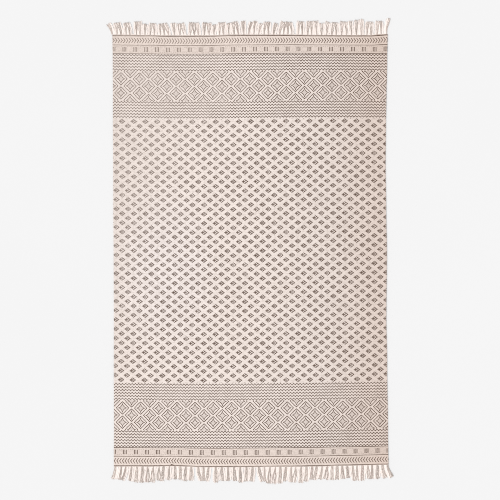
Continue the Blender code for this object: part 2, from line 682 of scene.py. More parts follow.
@dataclass(frozen=True)
class DarkSlip:
    """The one short, slanting slip of ink on the foot's end line."""

    across: float = -336.8
    out: float = 938.9
    slope: float = 0.30
    half_length: float = 8.2
    half_width: float = 2.7
    soft_side: float = 0.6
    soft_end: float = 1.2

    def ink(self, bench: Bench, spot: Spot) -> Number:
        """Return the slip's ink.

        Args:
            bench: The bench of the material.
            spot: The point in the terms of the print.

        Returns:
            The ink, from 0 to 1.
        """
        beside = spot.across - self.across
        from_line = abs(spot.out - (beside * self.slope + self.out))
        ink = bench.within(from_line, self.half_width, self.soft_side)
        return ink * bench.within(abs(beside), self.half_length, self.soft_end) * spot.is_foot


@dataclass(frozen=True)
class Chevrons:
    """The row of small chevrons inside each hem."""

    middle: float = 919.6
    half_height: float = 11.6
    pitch: float = 11.84
    slope: float = 0.62
    stroke: float = 2.2
    blob: float = 2.3
    arm_ink: float = 0.87
    places: PerEnd = PerEnd(8.4, -2.8)
    soft_side: float = 0.7
    soft_end: float = 0.8

    def ink(self, bench: Bench, spot: Spot) -> Number:
        """Return the chevrons' ink.

        Args:
            bench: The bench of the material.
            spot: The point in the terms of the print.

        Returns:
            The ink, from 0 to 1.
        """
        rise = abs(spot.out - self.middle)
        across = bench.centred(self.places.at(spot) + rise * self.slope, self.pitch)
        arms = bench.within(abs(across), self.stroke, self.soft_side)
        arms = arms * bench.within(rise, self.half_height, self.soft_end)
        corner = bench.centred(self.places.at(spot), self.pitch)
        distance = (corner * corner + rise * rise) ** 0.5
        return bench.most(arms * self.arm_ink, bench.within(distance, self.blob, self.soft_end))


@dataclass(frozen=True)
class Blocks:
    """The band of blocks, each of three upright bars, with faint dots between."""

    middle: float = 880.6
    pitch: float = 47.5
    half_height: float = 10.3
    outer_bar: float = 6.3
    outer_half: float = 2.1
    inner_half: float = 1.8
    inner_faint: float = 4.6
    dot_pitch: float = 9.57
    dot_row: float = 11.6
    dot_reach: float = 1.8
    bar_ink: PerEnd = PerEnd(0.90, 0.96)
    dot_ink: float = 0.46
    ground_ink: float = 0.09
    ground_half: float = 15.5
    places: PerEnd = PerEnd(19.5, -26.6)
    inner_inset: float = 2.0
    inner_low: float = 0.62
    inner_high: float = 0.95
    clear_from: float = 11.0
    clear_to: float = 12.5
    soft_end: float = 0.7
    soft_side: float = 0.6
    soft_dot: float = 0.8
    soft_ground: float = 1.0

    def ink(self, bench: Bench, spot: Spot) -> Number:
        """Return the blocks' ink.

        Args:
            bench: The bench of the material.
            spot: The point in the terms of the print.

        Returns:
            The ink, from 0 to 1.
        """
        across = bench.centred(self.places.at(spot), self.pitch)
        rise = abs(spot.out - self.middle)
        inside = bench.within(rise, self.half_height, self.soft_end)
        outer = bench.within(abs(abs(across) - self.outer_bar), self.outer_half, self.soft_side)
        inner = bench.within(abs(across), self.inner_half, self.soft_side)
        inner_end = self.half_height - self.inner_inset
        inner_ink = inner * bench.ramp(rise, self.inner_faint, inner_end, self.inner_low, self.inner_high)
        bars = bench.most(outer, inner_ink) * inside * self.bar_ink.chosen(spot)
        dot_x = bench.centred(across - self.dot_pitch / 2.0, self.dot_pitch)
        dot_y = rise - self.dot_row
        distance = (dot_x * dot_x + dot_y * dot_y) ** 0.5
        clear = bench.ramp(abs(across), self.clear_from, self.clear_to, 0.0, 1.0)
        dots = bench.within(distance, self.dot_reach, self.soft_dot) * clear * self.dot_ink
        ground = bench.within(rise, self.ground_half, self.soft_ground) * self.ground_ink
        return bench.most(bars, dots, ground)


@dataclass(frozen=True)
class Zigzags:
    """Six rows of zigzag, set between two middles of the end's bands."""

    middle: float
    places: PerEnd
    rows: int = 6
    row_pitch: float = 12.9
    pitch: float = 13.984
    climb: float = 5.6
    stroke: float = 2.12
    blob: float = 2.5
    strength: PerEnd = PerEnd(1.0, 0.96)
    soft: float = 0.5
    soft_blob: float = 0.8

    def ink(self, bench: Bench, spot: Spot) -> Number:
        """Return the zigzags' ink.

        Args:
            bench: The bench of the material.
            spot: The point in the terms of the print.

        Returns:
            The ink, from 0 to 1.
        """
        across = bench.centred(self.places.at(spot), self.pitch)
        share = abs(across) / (self.pitch / 2.0)
        rise = spot.out - self.middle
        row = bench.centred(rise - self.row_pitch / 2.0, self.row_pitch)
        line = abs(row - (share * -self.climb + self.climb / 2.0))
        line = bench.least(line, abs(line - self.row_pitch))
        strokes = bench.within(line, self.stroke, self.soft)
        outer = self.corner(bench, across, row - self.climb / 2.0)
        inner_across = bench.centred(across - self.pitch / 2.0, self.pitch)
        inner = self.corner(bench, inner_across, row + self.climb / 2.0)
        inside = bench.within(abs(rise), self.rows * self.row_pitch / 2.0, self.soft)
        return bench.most(strokes, outer, inner) * inside * self.strength.chosen(spot)

    def corner(self, bench: Bench, x: Number, y: Number) -> Number:
        """Return the ink that gathers where two strokes meet."""
        return bench.within((x * x + y * y) ** 0.5, self.blob, self.soft_blob)


@dataclass(frozen=True)
class DiamondLattice:
    """Concentric diamonds in staggered rows between the two zigzag bands."""

    low: float = 654.6
    high: float = 784.3
    row: float = 688.3
    stagger: Stagger = Stagger(80.15, 31.2, 27.4, 26.6)
    places: PerEnd = PerEnd(-4.2, 1.6)
    squeeze: PerEnd = PerEnd(0.006, 0.021)
    squeeze_from: float = 150.0
    outer_powers: tuple[float, float] = (1.13, 0.96)
    inner_powers: tuple[float, float] = (0.70, 0.70)
    inner_width: float = 16.8
    inner_height: float = 18.2
    outer_stroke: float = 1.64
    inner_stroke: float = 1.5
    outer_scale: float = 19.1
    inner_scale: float = 12.0
    star_ink: float = 0.19
    heart_ink: float = 0.32
    heart_reach: float = 2.0
    corner_reach: float = 2.3
    corner_inset: float = 1.0
    soft: float = 0.7
    soft_star: float = 0.05
    soft_blob: float = 0.8
    soft_end: float = 0.4

    def ring(
        self, x: Number, y: Number, width: float, height: float, powers: tuple[float, float],
    ) -> Number:
        """Return 1 on a diamond's outline.

        Args:
            x: Distance across from its middle.
            y: Distance along from its middle.
            width: Its half width.
            height: Its half height.
            powers: For each of x and y: over 1 rounds the corners that lie on the
                other axis, and under 1 draws them out to points.

        Returns:
            A value that is under 1 inside the diamond and over 1 outside it.
        """
        return (abs(x) / width) ** powers[0] + (abs(y) / height) ** powers[1]

    def ink(self, bench: Bench, spot: Spot) -> Number:
        """Return the diamonds' ink.

        Args:
            bench: The bench of the material.
            spot: The point in the terms of the print.

        Returns:
            The ink, from 0 to 1.
        """
        past = bench.math("MAXIMUM", spot.turned - self.squeeze_from, 0.0)
        across = self.places.at(spot) + past * self.squeeze.chosen(spot)
        x, y = self.stagger.nearest(bench, across, spot.out - self.row)
        outer = self.ring(x, y, self.stagger.half_width, self.stagger.half_height, self.outer_powers)
        inner = self.ring(x, y, self.inner_width, self.inner_height, self.inner_powers)
        outer_stroke = bench.within(abs(outer - 1.0) * self.outer_scale, self.outer_stroke, self.soft)
        inner_stroke = bench.within(abs(inner - 1.0) * self.inner_scale, self.inner_stroke, self.soft)
        rings = bench.most(outer_stroke, inner_stroke)
        star = bench.within(inner, 1.0, self.soft_star) * self.star_ink
        distance = (x * x + y * y) ** 0.5
        heart = bench.within(distance, self.heart_reach, self.soft_blob) * self.heart_ink
        corners = bench.most(
            self.corner(bench, abs(x) - self.stagger.half_width + self.corner_inset, y),
            self.corner(bench, abs(x) - self.inner_width + self.corner_inset, y),
            self.corner(bench, x, abs(y) - self.inner_height + self.corner_inset),
        )
        from_middle = abs(spot.out - (self.low + self.high) / 2.0)
        inside = bench.within(from_middle, (self.high - self.low) / 2.0, self.soft_end)
        return bench.most(rings, star, heart, corners) * inside

    def corner(self, bench: Bench, x: Number, y: Number) -> Number:
        """Return the ink that gathers in a ring's corner."""
        return bench.within((x * x + y * y) ** 0.5, self.corner_reach, self.soft_blob)


@dataclass(frozen=True)
class FieldMotif:
    """The small diamonds of the field, each with three light holes."""

    first_row: float = 564.4
    last_row: float = -565.7
    first_across: float = 1.3
    stagger: Stagger = Stagger(51.13, 20.18, 14.8, 11.4)
    fill_ink: float = 0.88
    hole_across: float = 4.4
    hole_width: float = 3.5
    hole_height: float = 3.0
    small_across: float = -1.2
    small_along: float = 4.9
    small_long: float = 3.2
    small_short: float = 2.1
    small_turn: float = math.radians(38.0)
    least_open: float = 0.42
    own_open: float = 0.5
    dark_spots: tuple[tuple[float, float], ...] = ((-5.6, 0.0), (4.4, 5.2), (9.6, 0.0))
    spot_width: float = 2.4
    spot_height: float = 1.9
    spot_ink: float = 0.18
    soft: float = 0.075
    soft_oval: float = 0.35
    soft_end: float = 0.5
    end_margin: float = 1.0

    def ink(self, bench: Bench, spot: Spot) -> Number:
        """Return the motifs' ink.

        Args:
            bench: The bench of the material.
            spot: The point in the terms of the print.

        Returns:
            The ink, from 0 to 1.
        """
        along = spot.along - self.first_row
        x, y = self.stagger.nearest(bench, spot.across - self.first_across, along)
        own = bench.chance(self.middle_of(bench, spot, x, y))
        fill = bench.within(self.stagger.reach(x, y), 1.0, self.soft) * self.fill_ink
        hole = self.oval(bench, x - self.hole_across, abs(y), self.hole_width, self.hole_height, 0.0)
        small = self.oval(
            bench, x - self.small_across, abs(y) - self.small_along,
            self.small_long, self.small_short, self.small_turn,
        )
        open_share = own * self.own_open + self.least_open
        holes = 1.0 - bench.most(hole, small) * open_share
        spots = bench.most(*(
            self.oval(bench, x - spot_x, abs(y) - spot_y, self.spot_width, self.spot_height, 0.0)
            for spot_x, spot_y in self.dark_spots
        ))
        ink = fill * holes * (spots * self.spot_ink + 1.0)
        middle = (self.first_row + self.last_row) / 2.0
        half = (self.first_row - self.last_row) / 2.0 + self.stagger.row_gap / 2.0 + self.end_margin
        inside = bench.within(abs(spot.along - middle), half, self.soft_end)
        return ink * inside

    def middle_of(self, bench: Bench, spot: Spot, x: Number, y: Number) -> bpy.types.NodeSocket:
        """Return the middle of a point's own motif, the same all over the motif.

        Args:
            bench: The bench of the material.
            spot: The point in the terms of the print.
            x: The place across.
            y: The place along.

        Returns:
            The middle, as a vector.
        """
        across = bench.math("ROUND", (spot.across - x) / self.stagger.pitch * 4.0)
        along = bench.math("ROUND", (spot.along - y) / self.stagger.row_gap * 4.0)
        return bench.point(across, along)

    def oval(self, bench: Bench, x: Number, y: Number, long: float, short: float, turn: float) -> Number:
        """Return 1 in a small turned oval, falling softly to 0 past its edge.

        Args:
            bench: The bench of the material.
            x: The way across from its middle.
            y: The way along from its middle.
            long: Half its length.
            short: Half its width.
            turn: How far it is turned, in radians.

        Returns:
            The number, from 0 to 1.
        """
        cosine, sine = math.cos(turn), math.sin(turn)
        first = (x * cosine + y * sine) / long
        second = (y * cosine - x * sine) / short
        return bench.within((first * first + second * second) ** 0.5, 1.0, self.soft_oval)


@dataclass(frozen=True)
class PrintedCotton:
    """Flat-woven cotton with its print, worn a little, and darker and rosier towards +X with painted shade.
    """

    bare: Colour = (0.872, 0.777, 0.723, 1.0)
    ink: Colour = (0.097, 0.056, 0.037, 1.0)
    band_bare: Colour = (0.852, 0.733, 0.664, 1.0)
    # Painted shade: a warm, darker tint that grows towards +X
    warm_painted_shade: Colour = (0.700, 0.460, 0.340, 1.0)
    warm_painted_shade_share: Ramp = Ramp(300.0, 600.0, 0.0, 0.25)
    cool: Colour = (0.880, 0.810, 0.790, 1.0)
    cool_share: Ramp = Ramp(0.2, 1.2, 0.6, 0.0)
    cool_middle: tuple[float, float] = (-370.0, -90.0)
    cool_reach: tuple[float, float] = (250.0, 400.0)
    roughness: float = 0.93
    weft_pitch: float = 2.1
    warp_pitch: float = 3.1
    weave_depth: float = 0.00035
    weave_powers: tuple[float, float] = (0.6, 0.8)
    bump_strength: float = 0.55
    specular: float = 0.2
    sheen: float = 0.08
    sheen_roughness: float = 0.6
    wobble: float = 1.2
    wobble_scale: float = 0.06
    back_ink: float = 0.22
    corner_slope: float = 0.5
    corner_ink: Ramp = Ramp(-850.0, -100.0, 0.78, 1.0)
    patch_ink: Ramp = Ramp(0.3, 0.7, 0.90, 1.0)
    patch_ink_scale: float = 0.022
    grain_ink: Ramp = Ramp(0.28, 0.60, 0.82, 1.0)
    grain_scale: float = 0.30
    slub_shade: Ramp = Ramp(0.3, 0.7, 0.945, 1.0)
    slub_scale: float = 0.42
    slub_stretch: float = 0.12
    knot_shade: Ramp = Ramp(0.25, 0.65, 0.83, 1.0)
    knot_scale: float = 0.20
    knot_stretch: float = 0.7
    patch_shade: Ramp = Ramp(0.3, 0.7, 0.975, 1.0)
    patch_scale: float = 0.012
    # Painted shade: the cloth is darker towards +X, where less light falls
    painted_shade_right: Ramp = Ramp(-150.0, 640.0, 1.0, 0.895)
    left_shade: Ramp = Ramp(-610.0, -520.0, 0.965, 1.0)
    corner_shade: Ramp = Ramp(-900.0, -300.0, 0.955, 1.0)
    # Painted shade in the gaps of the weave, on top of its bump
    painted_weave_gap_shade: Ramp = Ramp(0.0, 0.6, 0.93, 1.0)
    dark_shares: tuple[float, float, float] = (0.5, 0.47, 0.44)
    bands_share: Ramp = Ramp(861.0, 864.0, 0.0, 1.0)
    bands: tuple = (
        PlainLines(),
        DarkSlip(),
        Chevrons(),
        Blocks(),
        Zigzags(middle=822.7, places=PerEnd(2.75, 5.3)),
        DiamondLattice(),
        Zigzags(middle=616.6, places=PerEnd(-3.6, 2.0), strength=PerEnd(0.97, 0.91)),
        FieldMotif(),
    )

    def material(self) -> bpy.types.Material:
        """Return the cloth's material."""
        material, bench, shader = start_material("printed_cotton")
        across, along = bench.map_place(PRINT_MAP)
        across = across * (1.0 / MM)
        along = along * (1.0 / MM)
        print_ink = self.worn(bench, across, along, self.charted(bench, across, along))
        weave = self.weave(bench, across, along)
        cloth = self.ground(bench, across, along, weave)
        colour = bench.blend(print_ink, cloth, self.ink)
        material.node_tree.links.new(colour, shader.inputs["Base Color"])
        rough = bench.ramp(weave, 0.0, 1.0, 1.0, self.roughness)
        material.node_tree.links.new(rough.socket, shader.inputs["Roughness"])
        normal = bench.bump(weave, self.weave_depth, self.bump_strength)
        material.node_tree.links.new(normal, shader.inputs["Normal"])
        shader.inputs["Specular IOR Level"].default_value = self.specular
        shader.inputs["Sheen Weight"].default_value = self.sheen
        shader.inputs["Sheen Roughness"].default_value = self.sheen_roughness
        return material

    def charted(self, bench: Bench, across: Number, along: Number) -> Number:
        """Return the ink that the chart puts at each point, with a hand's wobble.

        Args:
            bench: The bench of the material.
            across: The place across, in millimetres.
            along: The place along, in millimetres.

        Returns:
            The ink, from 0 to 1.
        """
        x = across + (bench.noise(bench.point(across, along), self.wobble_scale) - 0.5) * self.wobble
        y = along + (bench.noise(bench.point(along, across, 40.0), self.wobble_scale) - 0.5) * self.wobble
        is_foot = bench.math("LESS_THAN", y, 0.0)
        turned = x * (1.0 - is_foot * 2.0)
        spot = Spot(x, y, abs(y), turned, is_foot)
        return bench.most(*(band.ink(bench, spot) for band in self.bands))

    def worn(self, bench: Bench, across: Number, along: Number, ink: Number) -> Number:
        """Return the ink: patchy and grainy with wear, and fainter towards the upper left and on the back.

        Args:
            bench: The bench of the material.
            across: The place across, in millimetres.
            along: The place along, in millimetres.
            ink: The ink as charted.

        Returns:
            The ink, from 0 to 1.
        """
        place = bench.point(across, along, 7.0)
        patches = bench.ramp(bench.noise(place, self.patch_ink_scale), *self.patch_ink)
        grain = bench.ramp(bench.noise(place, self.grain_scale, 3.0), *self.grain_ink)
        sideways = bench.ramp(across - along * self.corner_slope, *self.corner_ink)
        side = bench.choose(bench.attribute(FACE_UP), 1.0, self.back_ink)
        return bench.math("MINIMUM", ink * patches * grain * sideways * side, 1.0)

    def weave(self, bench: Bench, across: Number, along: Number) -> Number:
        """Return the height of the weave: rows of weft over a hidden warp.

        Args:
            bench: The bench of the material.
            across: The place across, in millimetres.
            along: The place along, in millimetres.

        Returns:
            The height, from 0 to 1.
        """
        column = bench.math("FLOOR", across / self.warp_pitch)
        offset = bench.math("FLOORED_MODULO", column, 2.0) * (self.weft_pitch / 2.0)
        beside = bench.centred(across - self.warp_pitch / 2.0, self.warp_pitch) * (math.pi / self.warp_pitch)
        above = bench.centred(along + offset, self.weft_pitch) * (math.pi / self.weft_pitch)
        warp_power, weft_power = self.weave_powers
        return bench.math("COSINE", beside) ** warp_power * bench.math("COSINE", above) ** weft_power

    def ground(self, bench: Bench, across: Number, along: Number, weave: Number) -> bpy.types.NodeSocket:
        """Return the bare cloth's colour: slubs, knots, and broad patches, some cooler; darker at the left
        edge and the upper left corner; and painted shade, darker and rosier towards +X and darker in the
        gaps of the weave.

        Args:
            bench: The bench of the material.
            across: The place across, in millimetres.
            along: The place along, in millimetres.
            weave: The height of the weave.

        Returns:
            The colour.
        """
        slubs = bench.noise(bench.point(across * self.slub_stretch, along), self.slub_scale, 3.0)
        knots = bench.noise(bench.point(across * self.knot_stretch, along, 33.0), self.knot_scale)
        patches = bench.noise(bench.point(across, along, 21.0), self.patch_scale)
        # Painted shade: darker towards +X, where less light falls
        right = bench.ramp(across, *self.painted_shade_right)
        left = bench.ramp(across, *self.left_shade)
        left = left * bench.ramp(across - along * self.corner_slope, *self.corner_shade)
        shade = bench.ramp(slubs, *self.slub_shade) * bench.ramp(patches, *self.patch_shade)
        shade = shade * bench.ramp(knots, *self.knot_shade)
        # Painted shade: darker towards +X and in the gaps of the weave
        shade = shade * right * left * bench.ramp(weave, *self.painted_weave_gap_shade)
        bare = bench.blend(bench.ramp(abs(along), *self.bands_share), self.bare, self.band_bare)
        from_cool_x = (across - self.cool_middle[0]) / self.cool_reach[0]
        from_cool_y = (along - self.cool_middle[1]) / self.cool_reach[1]
        from_cool = (from_cool_x * from_cool_x + from_cool_y * from_cool_y) ** 0.5
        bare = bench.blend(bench.ramp(from_cool, *self.cool_share), bare, self.cool)
        # Painted shade: rosier and darker towards +X
        bare = bench.blend(bench.ramp(across, *self.warm_painted_shade_share), bare, self.warm_painted_shade)
        red, green, blue = (part * share for part, share in zip(self.bare, self.dark_shares))
        return bench.blend(1.0 - (1.0 - shade) * 2.0, (red, green, blue, 1.0), bare)


@dataclass(frozen=True)
class FringeYarn:
    """Loose two-ply cotton yarn, cream or a greyer taupe from one yarn to the next; the taupe is partly
    painted shade, and the ply grooves carry painted shade.
    """

    cream: Colour = (0.975, 0.893, 0.845, 1.0)
    # The taupe colours are partly the yarns' own tone and partly painted shade, for the shadow between cream
    # yarns
    pale: Colour = (0.650, 0.568, 0.516, 1.0)
    grey_and_shade: Colour = (0.440, 0.377, 0.337, 1.0)
    blush: Colour = (0.590, 0.478, 0.440, 1.0)
    roughness: float = 0.95
    ply_pitch: float = 5.5
    plies: float = 2.0
    ply_depth: float = 0.0005
    bump_strength: float = 0.7
    specular: float = 0.2
    sheen: float = 0.15
    sheen_roughness: float = 0.5
    # Painted shade in the ply grooves: where it falls, and how much it darkens the taupe and the cream
    groove_line: Ramp = Ramp(0.0, 0.45, 1.0, 0.0)
    groove_shade: float = 0.30
    cream_groove_shade: float = 0.28
    fibre_place: tuple[float, float, float] = (3.0, 0.35, 50.0)
    fibre_shade: float = 0.25
    tone_shade: float = 0.9
    ply_round: float = 0.6
    ply_share: float = 0.7
    blush_scale: float = 9.0
    blush_share: Ramp = Ramp(0.56, 0.68, 0.0, 0.8)

    def material(self) -> bpy.types.Material:
        """Return the yarn's material."""
        material, bench, shader = start_material("fringe_cotton_yarn")
        around, along = bench.map_place(YARN_MAP)
        tone = bench.attribute(YARN_TONE)
        turns = along * (1.0 / (self.ply_pitch * MM)) + around * self.plies
        twist = abs(bench.centred(turns, 1.0)) * 2.0
        groove = bench.ramp(twist, *self.groove_line)
        scale_around, scale_along, scale_tone = self.fibre_place
        place = bench.point(around * scale_around, along * (scale_along / MM), tone * scale_tone)
        fibres = bench.noise(place, 1.0, 3.0)
        height = twist ** self.ply_round * self.ply_share + fibres * (1.0 - self.ply_share)
        # Painted shade: the colour darkens in the ply grooves, on top of their bump
        shade = tone * self.tone_shade + fibres * self.fibre_shade - groove * self.groove_shade
        taupe = bench.blend(bench.ramp(shade, 0.0, 1.0, 0.0, 1.0), self.grey_and_shade, self.pale)
        blushing = bench.noise(bench.point(tone, 0.0), self.blush_scale, 0.0)
        taupe = bench.blend(bench.ramp(blushing, *self.blush_share), taupe, self.blush)
        creaminess = bench.ramp(tone, DARK_TONE, PALE_TONE, 0.0, 1.0) * (1.0 - groove * self.cream_groove_shade)
        colour = bench.blend(creaminess, taupe, self.cream)
        material.node_tree.links.new(colour, shader.inputs["Base Color"])
        rough = bench.ramp(fibres, 0.2, 0.8, self.roughness, 1.0)
        material.node_tree.links.new(rough.socket, shader.inputs["Roughness"])
        normal = bench.bump(height, self.ply_depth, self.bump_strength)
        material.node_tree.links.new(normal, shader.inputs["Normal"])
        shader.inputs["Specular IOR Level"].default_value = self.specular
        shader.inputs["Sheen Weight"].default_value = self.sheen
        shader.inputs["Sheen Roughness"].default_value = self.sheen_roughness
        return material


@dataclass(frozen=True)
class PaleFloor:
    """A matt pale floor, almost even."""

    pale: Colour = (0.801, 0.801, 0.801, 1.0)
    deep: Colour = (0.788, 0.788, 0.788, 1.0)

    def material(self) -> bpy.types.Material:
        """Return the floor's material."""
        material, bench, shader = start_material("pale_floor")
        coordinates = bench.add("ShaderNodeTexCoord")
        clouds = bench.noise(coordinates.outputs["Object"], 1.4)
        colour = bench.blend(clouds, self.deep, self.pale)
        material.node_tree.links.new(colour, shader.inputs["Base Color"])
        shader.inputs["Roughness"].default_value = 1.0
        shader.inputs["Specular IOR Level"].default_value = 0.0
        return material


@dataclass(frozen=True)
class RowLie:
    """How printed rows lie off a straight line at one place along, in millimetres.

    A bow lifts both sides, a tilt lifts the right side and lowers the left, and a
    swing goes up and down between them.
    """

    along: float
    bow: float = 0.0
    tilt: float = 0.0
    swing: float = 0.0
    half_width: float = 0.6
    swing_length: float = 1.12

    def rise(self, x: float) -> float:
        """Return how far the rows lie above their flat place, at a place across.

        Args:
            x: The place across, in metres.

        Returns:
            The rise, in millimetres.
        """
        side = x / self.half_width
        turn = 2.0 * math.pi * x / self.swing_length
        return self.bow * side * side + self.tilt * side + self.swing * math.sin(turn)


@dataclass(frozen=True)
class PrintLie:
    """How the print lies on the cloth: rows that bow a little, and columns that spread.

    Rises and drifts are in millimetres. The columns spread towards the foot, and
    those left of the middle line bulge back to the right around the rug's middle.
    """

    head: RowLie = RowLie(0.82, swing=2.5)
    middle: RowLie = RowLie(0.07, bow=5.0, tilt=2.5, swing=1.0)
    foot: RowLie = RowLie(-0.82, bow=5.5, tilt=3.0, swing=0.5)
    hem_rise: float = -1.0
    spread: float = 3.0
    spread_per_metre: float = -3.3
    bulge: float = 3.5
    bulge_middle: float = 0.05
    bulge_reach: float = 0.55
    bulge_power: int = 4

    def rise(self, x: float, y: float) -> float:
        """Return how far the print lies above its flat place."""
        stations = (
            (hem_at(End.FOOT, 0.0), self.rise_at_hem(End.FOOT, x)),
            (self.foot.along, self.foot.rise(x)),
            (self.middle.along, self.middle.rise(x)),
            (self.head.along, self.head.rise(x)),
            (hem_at(End.HEAD, 0.0), self.rise_at_hem(End.HEAD, x)),
        )
        return float(np.interp(y, [place for place, _ in stations], [value for _, value in stations]))

    def rise_at_hem(self, end: End, x: float) -> float:
        """Return how far the print lies above its flat place at a hem."""
        return (hem_at(end, x) - hem_at(end, 0.0)) / MM + self.hem_rise

    def drift(self, x: float, y: float) -> float:
        """Return how far the print lies to the right of its flat place.

        Args:
            x: The place across.
            y: The place along.

        Returns:
            The drift, in millimetres.
        """
        side = x / self.middle.half_width
        drift = side * (self.spread + self.spread_per_metre * y)
        from_bulge = (y - self.bulge_middle) / self.bulge_reach
        if x < 0.0:
            drift -= side * self.bulge * max(1.0 - from_bulge ** self.bulge_power, 0.0)
        return drift

    def flat_place(self, x: float, y: float) -> tuple[float, float]:
        """Find the flat cloth's point that lies at a place of the plan.

        Args:
            x: The place across, in the plan.
            y: The place along, in the plan.

        Returns:
            The point's places across and along on the flat cloth, in metres.
        """
        return x - self.drift(x, y) * MM, y - self.rise(x, y) * MM


@dataclass
class RugCloth:
    """The woven cloth: one thin sheet with rounded selvedges and thicker hems."""

    columns: int = 140
    rows: int = 216
    thickness: float = 0.003
    edge_round: float = 0.0011
    hem_ridge: float = 0.0005
    hem_ridge_width: float = 0.006
    selvedge_ridge: float = 0.0003
    selvedge_width: float = 0.009
    finish: PrintedCotton = PrintedCotton()
    lie: PrintLie = PrintLie()

    # Low waves in the cloth as it lies: length across, length along, turn, height
    waves: tuple[tuple[float, float, float, float], ...] = (
        (0.47, 0.83, 0.4, 0.0005),
        (-0.31, 0.52, 1.9, 0.0004),
        (0.22, -0.36, 3.1, 0.0003),
    )

    def build(self) -> bpy.types.Object:
        """Return the dressed cloth."""
        piece = self.flat_grid()
        self.lay_out(piece)
        self.thicken(piece)
        self.mark_faces(piece)
        dress(piece, self.finish.material())
        return piece

    def flat_grid(self) -> bpy.types.Object:
        """Add the plain grid that becomes the cloth."""
        deselect_all()
        bpy.ops.mesh.primitive_grid_add(x_subdivisions=self.columns, y_subdivisions=self.rows, size=1.0)
        piece = bpy.context.object
        piece.name = "woven_cloth"
        piece.data.name = "woven_cloth"
        return piece

    def lay_out(self, piece: bpy.types.Object) -> None:
        """Move the grid onto the cloth's plan and give it its map of the print.

        Args:
            piece: The piece.
        """
        mesh = piece.data
        places = []
        for vertex in mesh.vertices:
            x, y = self.plan_place(vertex.co.x + 0.5, vertex.co.y + 0.5)
            places.append(self.lie.flat_place(x, y))
            vertex.co = (x + SHIFT_X, y + SHIFT_Y, self.thickness + self.relief(x, y))
        for layer in list(mesh.uv_layers):
            mesh.uv_layers.remove(layer)
        layer = mesh.uv_layers.new(name=PRINT_MAP)
        for loop in mesh.loops:
            layer.data[loop.index].uv = places[loop.vertex_index]

    def plan_place(self, share_x: float, share_y: float) -> tuple[float, float]:
        """Return the place of the plan at shares of the width and the length.

        Args:
            share_x: The share of the width.
            share_y: The share of the length.

        Returns:
            The places across and along.
        """
        x = mix(SIDES[0].left, SIDES[0].right, share_x)
        y = 0.0
        for _ in range(3):
            y = mix(hem_at(End.FOOT, x), hem_at(End.HEAD, x), share_y)
            x = mix(read_table(SIDES, y, "left"), read_table(SIDES, y, "right"), share_x)
        return x, y

    def relief(self, x: float, y: float) -> float:
        """Return how far the cloth's top lies above its plain thickness.

        Args:
            x: The place across.
            y: The place along.

        Returns:
            The height, in metres.
        """
        height = 0.0
        for length_x, length_y, turn, rise in self.waves:
            height += rise * (1.0 + math.sin(2.0 * math.pi * (x / length_x + y / length_y) + turn)) / 2.0
        from_hem = min(hem_at(End.HEAD, x) - y, y - hem_at(End.FOOT, x))
        from_side = min(x - read_table(SIDES, y, "left"), read_table(SIDES, y, "right") - x)
        height += self.hem_ridge * math.exp(-((from_hem / self.hem_ridge_width) ** 2))
        height += self.selvedge_ridge * math.exp(-((from_side / self.selvedge_width) ** 2))
        return height

    def thicken(self, piece: bpy.types.Object) -> None:
        """Give the sheet its thickness, downwards, and round its edges.

        Args:
            piece: The piece.
        """
        solidify = piece.modifiers.new("thickness", "SOLIDIFY")
        solidify.thickness = self.thickness
        solidify.offset = -1.0
        bevel = piece.modifiers.new("round", "BEVEL")
        bevel.width = self.edge_round
        bevel.segments = 2
        bevel.limit_method = "ANGLE"
        bevel.angle_limit = math.radians(50.0)
        apply_modifiers(piece)
        bpy.ops.object.shade_smooth_by_angle(angle=math.radians(60.0))

    def mark_faces(self, piece: bpy.types.Object) -> None:
        """Mark the points of the printed face with 1 and those of the back with 0.

        Args:
            piece: The piece.
        """
        mesh = piece.data
        attribute = mesh.attributes.new(FACE_UP, "FLOAT", "POINT")
        normals = [vertex.normal.z for vertex in mesh.vertices]
        attribute.data.foreach_set("value", [1.0 if normal > -0.5 else 0.0 for normal in normals])


class Lock(NamedTuple):
    """One lock's plan: root and tip across, reach past the hem, and its sway."""

    root: float
    tip: float
    reach: float
    sway: float


@dataclass
class LockPlanner:
    """Works out where the locks of both fringes lie, a little closer at their tips than the solids."""

    root_draw: float = 0.16
    tip_pitch: float = 0.0090
    sway: float = 0.0012
    spread_passes: int = 40
    seed: int = 11

    def plan(self) -> dict[End, list[Lock]]:
        """Return each end's locks, from left to right."""
        chance = random.Random(self.seed)
        return {
            End.HEAD: self.plan_end(HEAD_TUFTS, HEAD_ROOTS, chance),
            End.FOOT: self.plan_end(FOOT_TUFTS, FOOT_ROOTS, chance),
        }

    def plan_end(
        self, tufts: Sequence[TuftRow], root_rows: Sequence[RootRow], chance: random.Random,
    ) -> list[Lock]:
        """Draw one end's locks into their tufts.

        Args:
            tufts: The end's tufts from left to right.
            root_rows: Where some of its roots lie.
            chance: The source of the sways.

        Returns:
            The locks from left to right.
        """
        roots, tips, reaches = [], [], []
        for tuft in tufts:
            middle = read_table(root_rows, len(roots) + (tuft.locks + 1) / 2.0, "across", even)
            for number in range(tuft.locks):
                from_middle = number - (tuft.locks - 1) / 2.0
                own = read_table(root_rows, len(roots) + 1, "across", even)
                roots.append(mix(own, middle, self.root_draw))
                tips.append(middle + from_middle * self.tip_pitch + tuft.lean * MM)
                reaches.append(tuft.reach * MM)
        self.spread(tips)
        return [
            Lock(root, tip, reach, chance.uniform(-self.sway, self.sway))
            for root, tip, reach in zip(roots, tips, reaches)
        ]

    def spread(self, tips: list[float]) -> None:
        """Push the tips apart until no two neighbours touch."""
        for _ in range(self.spread_passes):
            for number in range(1, len(tips)):
                short = self.tip_pitch - (tips[number] - tips[number - 1])
                if short > 0.0:
                    tips[number - 1] -= short / 2.0
                    tips[number] += short / 2.0


class Route(NamedTuple):
    """A strand's points, its radius at each of them, and its tone."""

    points: list[tuple[float, float, float]]
    radii: list[float]
    tone: float


